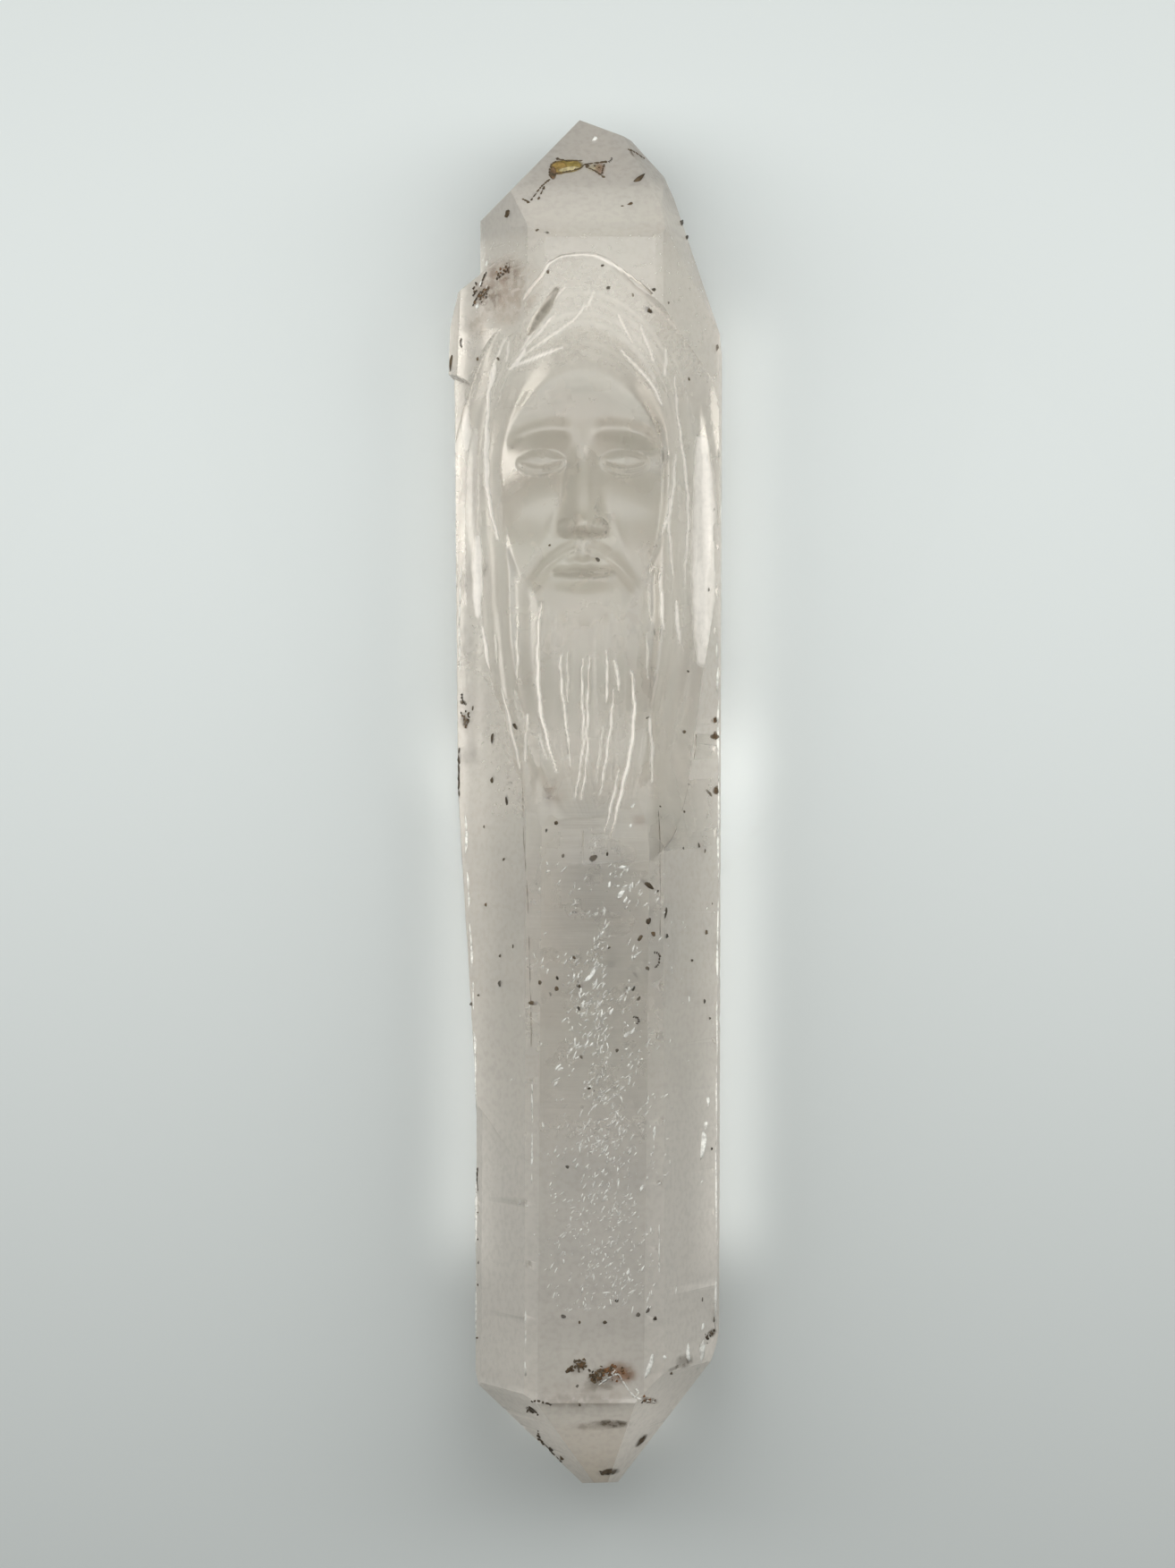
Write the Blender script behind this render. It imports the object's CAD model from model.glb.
# A carved quartz wand lying on a pale table, seen from straight above
import math
import random
import bmesh
import bpy
import numpy as np
from mathutils import Euler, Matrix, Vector, noise
from mathutils.bvhtree import BVHTree


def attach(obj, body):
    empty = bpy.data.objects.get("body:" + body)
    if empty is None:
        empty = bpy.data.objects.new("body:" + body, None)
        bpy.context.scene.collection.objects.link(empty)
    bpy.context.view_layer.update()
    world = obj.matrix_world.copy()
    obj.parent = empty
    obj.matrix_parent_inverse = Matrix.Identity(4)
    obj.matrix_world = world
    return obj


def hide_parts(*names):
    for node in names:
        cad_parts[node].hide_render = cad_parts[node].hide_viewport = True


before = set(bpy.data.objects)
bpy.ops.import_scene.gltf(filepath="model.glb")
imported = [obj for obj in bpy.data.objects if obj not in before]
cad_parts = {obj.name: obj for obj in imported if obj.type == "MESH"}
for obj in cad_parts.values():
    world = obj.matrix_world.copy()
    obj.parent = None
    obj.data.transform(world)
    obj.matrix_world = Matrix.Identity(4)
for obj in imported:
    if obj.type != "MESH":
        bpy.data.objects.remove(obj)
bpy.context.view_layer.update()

millimetre = 0.001  # shapes are worked out in millimetres and scaled at the end


# The crystal
wand = {
    "thickness": 22.8,  # from the resting face to the top face
    "axisX": 0.8,  # long axis of the main crystal
    "rhombSlope": 38.2,  # natural end faces against the long axis
    "rightUnderReach": 13.3,  # axis to the right flank of the underside
    "leftUnderReach": 11.6,
    "spireRise": 0.3,  # how far the small crystals below stay off the table
    "roughBlock": 400.0,
    "edgeWear": 0.26,  # width of the worn edges
    "smallEdgeWear": 0.12,
    "softAbove": 52,  # the crown and the foot are worn softer than the shaft
    "softBelow": -60,
    "smoothTurn": 40,  # edges that turn less are shaded smooth
    "growthSeed": 11,
    "growthReach": 75.0,  # how far the growth lines go towards both ends
    "rowStep": 0.6,  # their spacing along the wand
    "rowHeight": 0.012,  # how far they stand proud
    "rowsClear": 0.4,  # none below this height
    "nibble": 0.1,  # unevenness of the worn edges
    "nibbleEnds": (44, 52),  # where it dies out towards the crown
    "plainCrown": (43, 50),  # where the fine pattern of the faces dies out
    "plainFoot": (60, 64),  # the same downwards
    "edgeFrost": 0.3,  # how white the worn edges are
    "restingClear": 1.0,  # no frost below this height
}
axisZ = wand["thickness"] / 2
axisPoint = Vector((wand["axisX"], 0, axisZ))
slope = wand["rhombSlope"]
naturalFace, wornEdge, carvedFace = 0, 1, 2  # kinds of surface while the stone is cut

# The camera looks straight down, with the frame's middle a little below the wand's.
# Strokes and marks are placed where it sees them, measured on the level of the long axis.
view = {"height": 450.0, "x": 0.2, "y": 1.9, "longSide": 175.3, "sensor": 36}


def underSight(x, y, level):
    nearer = (view["height"] - level) / (view["height"] - axisZ)
    return view["x"] + (x - view["x"]) * nearer, view["y"] + (y - view["y"]) * nearer


def outwardAt(azimuth):
    turn = math.radians(azimuth)
    return Vector((math.cos(turn), 0, math.sin(turn)))


# azimuth turns about the long axis, 90 is straight up; lean tips the face towards +Y
def crystalFace(azimuth, lean, reach, centre=axisPoint):
    turn, tip = math.radians(azimuth), math.radians(lean)
    normal = Vector((math.cos(turn) * math.cos(tip), math.sin(tip), math.sin(turn) * math.cos(tip)))
    return normal, centre + normal * reach


crystals = {  # azimuth, lean and reach of the sides; azimuth, lean and crossing of the axis for ends
    "main": {
        "sides": [
            (90, 0, axisZ), (-90, 0, axisZ), (30, -0.15, 11.95), (-30, -0.15, wand["rightUnderReach"]),
            (150, 0.2, 11.55), (-150, 0.2, wand["leftUnderReach"]),
            (60, -0.3, 12.97), (120, 0.2, 12.67),  # narrow strips along the edges of the top face
            (14, -0.15, 13.5), (180, 0.25, 12.85), (166, 0.2, 12.31),  # the worn side corners
        ],
        "ends": [
            (90, slope, 76),  # the window face above the hair
            (-90, slope, 78.5), (30, slope, 78.8), (-30, slope, 78), (-150, slope, 79),
            (170, 44, 77.6), (14, 18.4, 93.3), (-22, 17, 96), (0, 67, 75.5),
            (90, -40, -79.1), (-90, -slope, -78.8), (30, -34, -79.9), (-30, -33, -79.5),
            (150, -43.5, -77.1), (-150, -40, -77.9), (80, -80, -76.2),
        ],
    },
    "leftFlank": {
        "sides": [
            (90, 0, 10.2), (-90, 0, 8.4), (142, -0.3, 12.15), (-150, -0.3, 13.3), (180, -0.5, 15.05),
            (0, 0, -5), (180, -3.6, 14.97),
        ],
        "ends": [(180, -slope, -50), (150, slope, 66), (-150, slope, 64), (90, slope, 62), (180, 60, 56.5)],
    },
    "leftShoulder": {
        "sides": [
            (90, 0, 8.8), (128, 5, 15.9), (155, 4, 18.3), (-90, 0, 7.4), (-150, 0, 13.6), (0, 0, -6),
            (180, 2, 17.75), (180, 14, 28.24),
        ],
        "ends": [(180, 55, 67.1), (170, -55, 36.4)],
    },
}
spires = [  # the smaller crystals on the underside
    {"azimuth": -30, "side": 0.5, "radius": 4.2, "out": 0.9, "tip": 44, "foot": -38},
    {"azimuth": -30, "side": -2.6, "radius": 3.2, "out": 1.5, "tip": 22, "foot": -30},
    {"azimuth": -30, "side": 2.2, "radius": 2.6, "out": 0.5, "tip": 2, "foot": -56},
    {"azimuth": -150, "side": 0.4, "radius": 4.0, "out": 1.4, "tip": 30, "foot": -44},
    {"azimuth": -150, "side": 2.4, "radius": 2.8, "out": 2.0, "tip": 8, "foot": -34},
    {"azimuth": -150, "side": -2.0, "radius": 2.4, "out": 1.0, "tip": -16, "foot": -58},
]


def facesOf(crystal):
    faces = [crystalFace(*side) for side in crystal["sides"]]
    for azimuth, lean, crossingY in crystal["ends"]:
        faces.append(crystalFace(azimuth, lean, 0, Vector((wand["axisX"], crossingY, axisZ))))
    return faces


def spireFaces(spire):
    outward = outwardAt(spire["azimuth"])
    sideways = Vector((-outward.z, 0, outward.x))
    flankReach = wand["rightUnderReach"] if outward.x > 0 else wand["leftUnderReach"]
    reach = flankReach + spire["out"] - spire["radius"]
    centre = axisPoint + outward * reach + sideways * spire["side"]
    atTip, atFoot = centre.copy(), centre.copy()
    atTip.y, atFoot.y = spire["tip"], spire["foot"]
    faces = [crystalFace(-90, 0, axisZ - wand["spireRise"])]
    for step in range(6):
        azimuth = spire["azimuth"] + 60 * step
        faces.append(crystalFace(azimuth, 0, spire["radius"], centre))
        faces.append(crystalFace(azimuth, slope, 0, atTip))
        faces.append(crystalFace(azimuth, -slope / 3, 0, atFoot))
    return faces


def newObject(name, bm):
    mesh = bpy.data.meshes.new(name)
    bm.to_mesh(mesh)
    bm.free()
    made = bpy.data.objects.new(name, mesh)
    bpy.context.scene.collection.objects.link(made)
    return made


# a stone or a cutter, with an empty material slot for each kind of surface
def newBlock(name, bm):
    block = newObject(name, bm)
    for _ in (naturalFace, wornEdge, carvedFace):
        block.data.materials.append(None)
    return block


def meshOf(target):
    bm = bmesh.new()
    bm.from_mesh(target.data)
    return bm


def shadeAndShrink(bm):
    for facet in bm.faces:
        facet.smooth = True
    bmesh.ops.scale(bm, vec=(millimetre, millimetre, millimetre), verts=bm.verts[:])


def growCrystal(name, faces, wear):
    bm = bmesh.new()
    bmesh.ops.create_cube(bm, size=wand["roughBlock"])
    for normal, point in faces:
        whole = bm.verts[:] + bm.edges[:] + bm.faces[:]
        cut = bmesh.ops.bisect_plane(bm, geom=whole, dist=1e-4, plane_co=point, plane_no=normal,
                                     clear_outer=True)
        rim = [part for part in cut["geom_cut"] if isinstance(part, bmesh.types.BMEdge)]
        bmesh.ops.edgenet_fill(bm, edges=rim)
    bmesh.ops.remove_doubles(bm, verts=bm.verts[:], dist=0.02)
    bmesh.ops.recalc_face_normals(bm, faces=bm.faces[:])
    worn = bmesh.ops.bevel(bm, geom=bm.edges[:], offset=wear, offset_type="OFFSET", affect="EDGES",
                           segments=2, profile=0.5, material=-1, clamp_overlap=True)
    for facet in worn["faces"]:
        facet.material_index = wornEdge
    return newBlock(name, bm)


def joinOrCut(target, tool, operation):
    step = target.modifiers.new(operation.lower(), "BOOLEAN")
    step.operation, step.object, step.solver = operation, tool, "EXACT"
    shaped = target.evaluated_get(bpy.context.evaluated_depsgraph_get())
    mesh = bpy.data.meshes.new_from_object(shaped)
    target.modifiers.clear()
    target.data = mesh
    bpy.data.objects.remove(tool)


# The carved head
head = {
    "middleX": -0.3,
    "chinY": 17.6,
    "height": 39.2,  # chin to crown
    "faceHalfWidth": 9.5,
    "beardTipY": -3.8,
    "beardSweep": 2.2,  # how far the beard's tip swings to the right
    "archTopY": 59.8,  # ledge over the hair
    "hairDepth": 1.0,
    "crownDepth": 0.35,  # the same above the forehead
    "locksAcross": 4.6,
    "lockHeight": 0.15,
    "beardLocks": 3.6,
    "columns": 210,
    "rows": 350,
    "cutHalfWidth": 15.8,
    "cutTop": 40,
    "flanks": [(1, 21.7, 1.55), (-1, 20.2, 1.27)],  # side, height 8 out from the middle, fall
    "flankRounding": 3,
    "ledgeShoulders": (2.9, 2.2),  # how far out the ledge falls off, left and right
    "ledgeFall": (0.6, 0.5),
    "ledgeEnds": (9.5, 7),
    "footCorners": (6.5, 9.5),
}
chinY = head["chinY"]
third = 0.87 * head["height"] / 3  # hairline to brow, brow to nose, nose to chin
hairlineY, browY, noseY = chinY + 3 * third, chinY + 2 * third, chinY + third
mouthY = noseY - third / 3
eyeY, eyeX = chinY + head["height"] / 2, 4.6
cheekY = chinY + 0.49 * head["height"]


def ramp(value, low, high):
    share = np.clip((value - low) / (high - low), 0, 1)
    return share * share * (3 - 2 * share)


def crest(off, width):
    return np.exp(-(off / width) ** 2)


def hill(dx, dy, radiusX, radiusY):
    return np.exp(-(dx / radiusX) ** 2 - (dy / radiusY) ** 2)


def egg(dx, dy, radiusX, radiusY):
    return np.maximum(0, 1 - (dx / radiusX) ** 2 - (dy / radiusY) ** 2) ** 0.7


def blend(a, b, share):
    return a + (b - a) * share


def softLower(a, b, width):
    near = np.maximum(width - np.abs(a - b), 0) / width
    return np.minimum(a, b) - near * near * width / 4


# the crystal's upper side with its long edges rounded, which the carving starts from
def roundedCrystal(x):
    level = wand["thickness"] + 0 * x
    for side, height, fall in head["flanks"]:
        level = softLower(level, height - fall * (side * x - 8), head["flankRounding"])
    return level


def leftOrRight(dx, pair):
    return np.where(dx < 0, *pair)


# the ledge that frames the hair, rounded on top and straight on both sides
def archY(dx):
    past = np.abs(dx) - leftOrRight(dx, head["ledgeShoulders"])
    fall = leftOrRight(dx, head["ledgeFall"]) * (past + np.hypot(past, 1))
    leftEnd = 0.25 * np.maximum(-dx - head["ledgeEnds"][0], 0) ** 2
    return head["archTopY"] - fall - leftEnd


# the lower limit of the carving
def carvingFootY(dx):
    inner = leftOrRight(dx, head["footCorners"])
    return head["beardTipY"] + 0.06 * dx * dx + 12 * ramp(np.abs(dx), inner, inner + 6)


# 1 along the edge of the face, and more out through the hair, with a parting on top
def hairRing(dx, y):
    narrowing = 1 - 0.25 * ramp(22 - y, 0, 24)
    across = np.abs(dx) / (head["faceHalfWidth"] * narrowing)
    up = np.maximum(y - cheekY, 0) / (hairlineY - cheekY)
    return np.hypot(across, up)


def faceMask(dx, y):
    down = np.clip((cheekY - y) / (1.12 * (cheekY - chinY)), 0, 1)
    jaw = head["faceHalfWidth"] * np.sqrt(1 - down * down)
    soft = 0.06 + 0.32 * ramp(y, cheekY, hairlineY)  # a soft hairline over the forehead
    return ramp(1 - hairRing(dx, y), -0.03, soft) * ramp(jaw - np.abs(dx), -0.3, 0.9)


def eyelids(side, y):
    across, up = side - eyeX, y - eyeY
    lid = 0.95 * egg(across, up, 2.8, 1.5)
    lashLine = -0.75 + 0.11 * across * across
    crease = 1.2 - 0.12 * across * across
    reach = ramp(2.8 - np.abs(across), 0, 0.8)
    return lid - 0.3 * crest(up - lashLine, 0.3) * reach - 0.14 * crest(up - crease, 0.3) * reach


def nose(dx, y):
    along = ramp(browY - y, 0, browY - noseY - 1)
    width = 1.25 + 0.75 * along
    top = 1 - ramp(y, browY - 1.5, browY + 2.5)
    base = ramp(y, noseY - 0.3, noseY + 1.0)
    ridge = (0.55 + 1.55 * along) * np.exp(-(np.abs(dx) / width) ** 2.4) * top * base
    tip = 0.5 * hill(dx, y - noseY - 1.3, 1.3, 1.1)
    wings = 0.85 * egg(np.abs(dx) - 1.9, y - noseY - 0.95, 0.95, 1.05)
    return ridge + tip + wings


def lips(dx, y):
    side, up = np.abs(dx), y - mouthY
    bow = 0.75 - 0.05 * dx * dx + 0.2 * crest(side - 0.8, 0.6)
    upper = 0.62 * crest(up - bow, 0.6) * ramp(3.5 - side, 0, 2.6)
    lower = 0.8 * hill(dx, up + 1.0, 2.3, 0.75)
    parting = 0.5 * crest(up + 0.04 * side, 0.26) * ramp(3.7 - side, 0, 0.9)
    return upper + lower - parting


def face(dx, y):
    side = np.abs(dx)
    dome = 12.9 + 7.3 * np.sqrt(np.maximum(0, 1 - (dx / 11.8) ** 2))
    forehead = 0.5 * ramp(y, browY + 3, hairlineY + 2)
    browLine = browY + 0.4 - 0.05 * (side - 3) ** 2
    brow = 0.5 * crest(y - browLine, 1.0) * ramp(side, 0.6, 2.2) * (1 - ramp(side, 6.5, 8.5))
    socket = -1.35 * hill(side - eyeX, y - eyeY - 0.1, 3.1, 2.3)
    cheek = 0.55 * hill(side - 6.2, y - noseY - 2.6, 2.6, 2.6)
    fold = -0.22 * hill(side - 4.0 + 0.35 * (y - noseY), y - noseY - 0.5, 0.6, 2.4)
    form = dome + forehead + brow + socket + cheek + fold
    return form + eyelids(side, y) + nose(dx, y) + lips(dx, y)


def moustache(dx, y):
    side = np.abs(dx)
    middleY = noseY - 1.25 - 0.1 * side * side - 0.12 * side
    strands = 1 + 0.1 * np.cos(2 * math.pi * (y - middleY) / 0.9)
    return 0.5 * crest(y - middleY, 1.1) * strands * ramp(side, 0, 1) * (1 - ramp(side, 4.5, 7))


def beardMiddle(y):
    down = np.clip((chinY - y) / (chinY - head["beardTipY"]), 0, 1)
    return head["beardSweep"] * down * down


def beardHalfWidth(y):
    down = np.clip((22 - y) / (22 - head["beardTipY"]), 0, 1)
    return 8.6 * np.sqrt(1 - down * down * 0.97)


def beardCover(dx, y):
    jawline = chinY + 2.2 + 0.11 * dx * dx
    inside = beardHalfWidth(y) - np.abs(dx - beardMiddle(y))
    return (1 - ramp(y, jawline - 1.6, jawline + 0.6)) * ramp(inside, -0.6, 0.9)


def rounded(phase):
    return 1 - 2 * np.abs(np.sin(math.pi * phase)) ** 1.6


def beard(dx, y):
    share = (dx - beardMiddle(y)) / np.maximum(beardHalfWidth(y), 0.5)
    down = ramp(chinY + 2 - y, 0, 0.75 * (chinY - head["beardTipY"]))
    locks = head["lockHeight"] * rounded(share * head["beardLocks"] + 0.5 + 0.06 * np.sin(y / 4))
    return 20.2 + 2.55 * down + (locks - 1.6 * share * share) * (1 - down)


def hairLocks(dx, y):
    ring = hairRing(dx, y)
    wave = 0.05 * np.sin(y / 6 + np.tanh(dx))
    locks = rounded((ring + wave) * head["locksAcross"])
    footY = carvingFootY(dx)
    return head["lockHeight"] * locks * ramp(y, footY, footY + 8) * (1 - ramp(y, 42, 50))


# Strokes engraved in the hair and beard, each a few x, y points along its middle
strokes = {  # depth, half width, how white the ground surface is, paths
    "milky": (0, 1.2, 0.34, [
        [(-12.7, 42), (-13, 34), (-12.8, 26), (-12.4, 11)],
        [(-2.4, 61.2), (0, 61.3), (2.6, 60.6), (4.7, 58.5), (7.7, 55.8)],
    ]),
    "whiter": (0, 1.7, 0.75, [[(13.2, 41), (13.5, 35), (13.5, 30), (13.3, 16)]]),
    "fine": (0.1, 0.2, 0.4, [
        [(-2, 16.8), (-2, 11)], [(2, 8.5), (1.6, 5.6), (1.1, 2.1)], [(-5.2, 7.5), (-4.3, 4.6)],
        [(6.9, 23.8), (7.4, 20)], [(6.8, 18.7), (7, 13.6)], [(12.4, 7.4), (12.4, 4.9)],
        [(-10.1, 18.7), (-10.1, 15.7)], [(-6.6, 9.3), (-6.7, 4.5)],
    ]),
    "plain": (0.14, 0.18, 0.7, [
        [(-2.7, 16.4), (-2.8, 13.9), (-1.9, 6.2), (-1.65, 4)],
        [(-0.3, 16), (-0.45, 12.6), (-0.3, 6.5), (-1.2, 0.2)],
        [(0.45, 16.1), (0.2, 11), (0.1, 4.6), (-0.5, 0.3)],
        [(2.3, 16.8), (2.4, 14.2), (2.3, 11)], [(3.2, 15.7), (3.8, 12.3)],
        [(3.1, 12.3), (2.9, 9.4), (2.4, 5.6), (1.6, 0.8)], [(3.7, 3.4), (2.9, -0.15), (2.1, -3.65)],
        [(7.1, 9.4), (7.4, 5), (7.3, 2.1)], [(-6.5, 9.7), (-6.8, 4.6)],
        [(-9.4, 12.5), (-8.6, 9.3), (-7.9, 6.1), (-7.3, 3.6)], [(-8.2, 3), (-8.9, 0.6)],
        [(-11, 44.5), (-11, 34.9), (-10, 29.5)], [(8.4, 25.4), (8.7, 19.3)],
        [(10.1, 39.1), (9.6, 33.3), (8.5, 29.8)], [(9.4, 34), (9.4, 30.2), (9.8, 25.4)],
        [(10, 47.8), (10.4, 43.3), (11.3, 37.1), (11.6, 31.5), (11.1, 24.2)],
        [(12.4, 38.5), (12.5, 31), (12.2, 24.5)], [(-2.3, 57.4), (-4.8, 54.2), (-7.2, 50.4)],
        [(0, 55.3), (-2, 53.2), (-7.9, 49.3)], [(-3.4, 54.4), (-5, 52.5), (-6.9, 50.6)],
        [(-10.7, 47.8), (-9.7, 50.7), (-7.8, 53.7)], [(-9, 49.4), (-8.5, 51.9)],
        [(0.9, 57), (0.1, 54.8)], [(3.6, 54.4), (5.2, 51.2)], [(6.1, 53.1), (7.5, 49.3)],
        [(8.9, 50.8), (8.9, 47.6)], [(4, 50.4), (7.2, 46.9), (8.6, 44.4)], [(-7.7, 19.5), (-7.7, 13.8)],
    ]),
    "strong": (0.2, 0.25, 0.85, [
        [(5.1, 14.5), (5.4, 10.7), (5.1, 6.2), (4.2, 2.1), (2.75, -4.1)],
        [(-4.9, 22.2), (-5.2, 20.6), (-5.4, 15.8), (-5, 9.7), (-3.3, 3.4)],
        [(-11.6, 19.6), (-11.2, 16.4), (-10.8, 14.8)], [(10.1, 22.5), (10.6, 17.7)],
        [(-10.7, 48.6), (-11, 45.5), (-11.3, 38.3), (-10.9, 33.8), (-9.9, 29.6)],
        [(-2.7, 50.7), (-5.5, 49.7), (-8.6, 48.6)], [(-6.7, 50.5), (-8.5, 48.5)],
        [(-10.1, 49.2), (-10.9, 46.4)],
        [(-2.5, 60.9), (-4.1, 59.9), (-5.2, 58.4), (-6.6, 56.7), (-8.3, 55), (-9.8, 53)],
        [(-2.6, 60.9), (0, 61), (2.1, 60.5), (5.3, 58.3), (7.3, 56.6)],
    ]),
    "wide": (0.08, 0.6, 0.88, [
        [(-13.7, 45), (-13.6, 40)], [(-12.2, 30), (-12.3, 21)],
        [(13.6, 39.4), (13.8, 31), (13.5, 24.2)], [(12.9, 27), (13.6, 17.6)],
    ]),
    "bare": (0.36, 0.65, 0, [[(-3.2, 57), (-6.4, 52.3)]]),
}
# fine cuts between them, that follow the hair, and how white each part is left
combing = {
    "seed": 21,
    "lanes": 97,  # different cuts before they repeat
    "hairLanes": 14,
    "beardLanes": 10,
    "depth": 0.03,
    "frost": 0.12,
    "crownFrost": 0.3,
    "hairFrost": 0.16,
    "beardFrost": 0.05,
    "waver": 0.05,  # the hand's sideways shake
    "level": 21.5,  # about where the carved surface lies
}
laneTable = np.random.default_rng(combing["seed"]).random((combing["lanes"], 2))


# a smooth line through a few points
def curveThrough(points, steps=5):
    ends = np.array([points[0], *points, points[-1]], float)
    line = []
    for a, b, c, d in zip(ends, ends[1:], ends[2:], ends[3:]):
        for t in np.linspace(0, 1, steps, endpoint=False):
            bend = (2 * a - 5 * b + 4 * c - d) * t * t + (3 * b - a - 3 * c + d) * t ** 3
            line.append(b + ((c - a) * t + bend) / 2)
    line.append(ends[-1])
    return np.array(line)


# 1 along the middle of a line, 0 at its sides, and narrower towards both ends
def strokeProfile(x, y, line, halfWidth):
    spans = np.hypot(*(line[1:] - line[:-1]).T)
    reached = np.cumsum(spans) - spans
    profile = np.zeros_like(x)
    for (ax, ay), (bx, by), span, before in zip(line, line[1:], spans, reached):
        share = np.clip(((x - ax) * (bx - ax) + (y - ay) * (by - ay)) / span ** 2, 0, 1)
        off = np.hypot(x - blend(ax, bx, share), y - blend(ay, by, share))
        along = (before + share * span) / spans.sum()
        width = halfWidth * np.sin(math.pi * (0.06 + 0.88 * along)) ** 0.5
        profile = np.maximum(profile, 1 - (off / width) ** 2)
    return profile


def strokeField(x, y, halfWidth, paths):
    field = np.zeros_like(x)
    reach = halfWidth + combing["waver"]
    waveringX = x + combing["waver"] * np.sin(1.9 * y + 0.8 * x)
    for points in paths:
        line = np.stack(underSight(*curveThrough(points).T, combing["level"]), 1)
        low, high = line.min(0) - reach, line.max(0) + reach
        near = np.flatnonzero((x > low[0]) & (x < high[0]) & (y > low[1]) & (y < high[1]))
        profile = strokeProfile(waveringX[near], y[near], line, halfWidth)
        field[near] = np.maximum(field[near], profile)
    return field


# parallel cuts, each with its own strength and its own gaps
def fineCuts(lane, y):
    number = np.floor(lane).astype(int) % len(laneTable)
    strength, phase = laneTable[number].T
    gaps = ramp(np.sin(y * (0.17 + 0.12 * strength) + 6.3 * phase), -0.3, 0.5)
    return strength * gaps * ramp(0.8 - 2 * np.abs(lane - np.floor(lane) - 0.5), 0, 0.8)


# how deep the strokes go at a place, and how white they leave it
def engraving(x, y):
    dx = x - head["middleX"]
    onBeard = beardCover(dx, y)
    onHead = (1 - faceMask(dx, y)) * (1 - onBeard)
    onHair = onHead * ramp(archY(dx) - y, 0, 1.5) * ramp(y - carvingFootY(dx), 1, 6)
    beardWidth = np.maximum(beardHalfWidth(y), 0.5)
    beardLane = (dx - beardMiddle(y)) / beardWidth * combing["beardLanes"] + 20
    hairLane = hairRing(dx, y) * combing["hairLanes"] + np.where(dx > 0, 40, 0)
    fine = onHair * fineCuts(hairLane, y) + onBeard * fineCuts(beardLane, y) * ramp(beardWidth, 2, 5)
    cut = combing["depth"] * fine
    hairline = np.maximum(onHead, ramp(hairRing(dx, y), 0.5, 0.8) * (1 - onBeard))
    frost = combing["hairFrost"] * onHead + combing["beardFrost"] * onBeard * (1 + ramp(chinY - y, 4, 20))
    frost = blend(frost, combing["crownFrost"] * hairline, ramp(y, 41, 48)) + combing["frost"] * fine
    for depth, halfWidth, white, paths in strokes.values():
        profile = strokeField(x, y, halfWidth, paths)
        cut = np.maximum(cut, depth * profile)
        frost = blend(frost, white, np.minimum(1, 1.5 * profile))
    return cut, frost


# how far the hair lies below the crystal's faces, which it comes up to all round
def hairDepthAt(dx, y):
    side, footY = np.abs(dx), carvingFootY(dx)
    ledgeEnd = leftOrRight(dx, head["ledgeEnds"])
    full = blend(head["hairDepth"], head["crownDepth"], ramp(y, 44, 56))
    pastLedge = ramp(side, ledgeEnd, ledgeEnd + 4) * ramp(y, 42, 50)
    beside = (1 - ramp(side, 12.5, 15)) * (1 - pastLedge)
    return full * ramp(y, footY - 1, footY + 14) * beside - 0.4 * pastLedge


def carvedHeight(x, y):
    dx = x - head["middleX"]
    footY = carvingFootY(dx)
    hair = roundedCrystal(x) - hairDepthAt(dx, y) + hairLocks(dx, y)
    height = blend(hair, face(dx, y) + moustache(dx, y), faceMask(dx, y))
    height = blend(height, beard(dx, y), beardCover(dx, y))
    height = height + 3 * ramp(y - archY(dx), -0.6, 2.4) + 0.5 * ramp(footY - y, -4, 6)
    cut, _ = engraving(x, y)
    lowest = np.minimum(height, roundedCrystal(x))  # a stroke also cuts past the carving's border
    return blend(height, lowest, np.minimum(1, 12 * cut)) - cut


# everything above the carved surface, to be cut away
def carvingBlock():
    bm = bmesh.new()
    bmesh.ops.create_grid(bm, x_segments=head["columns"], y_segments=head["rows"], size=1)
    places = np.array([vert.co for vert in bm.verts])
    x = places[:, 0] * head["cutHalfWidth"]
    dx = x - head["middleX"]
    y = blend(carvingFootY(dx) - 6, archY(dx) + 2.6, (places[:, 1] + 1) / 2)
    z = carvedHeight(x, y)
    for vert, spot in zip(bm.verts, np.stack([x, y, z], 1)):
        vert.co = spot
    walls = bmesh.ops.extrude_edge_only(bm, edges=[edge for edge in bm.edges if edge.is_boundary])
    for part in walls["geom"]:
        if isinstance(part, bmesh.types.BMVert):
            part.co.z = head["cutTop"]
    bmesh.ops.holes_fill(bm, edges=[edge for edge in bm.edges if edge.is_boundary], sides=0)
    bmesh.ops.recalc_face_normals(bm, faces=bm.faces[:])
    for facet in bm.faces:
        facet.material_index = carvedFace
    return newBlock("carving", bm)


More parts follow.
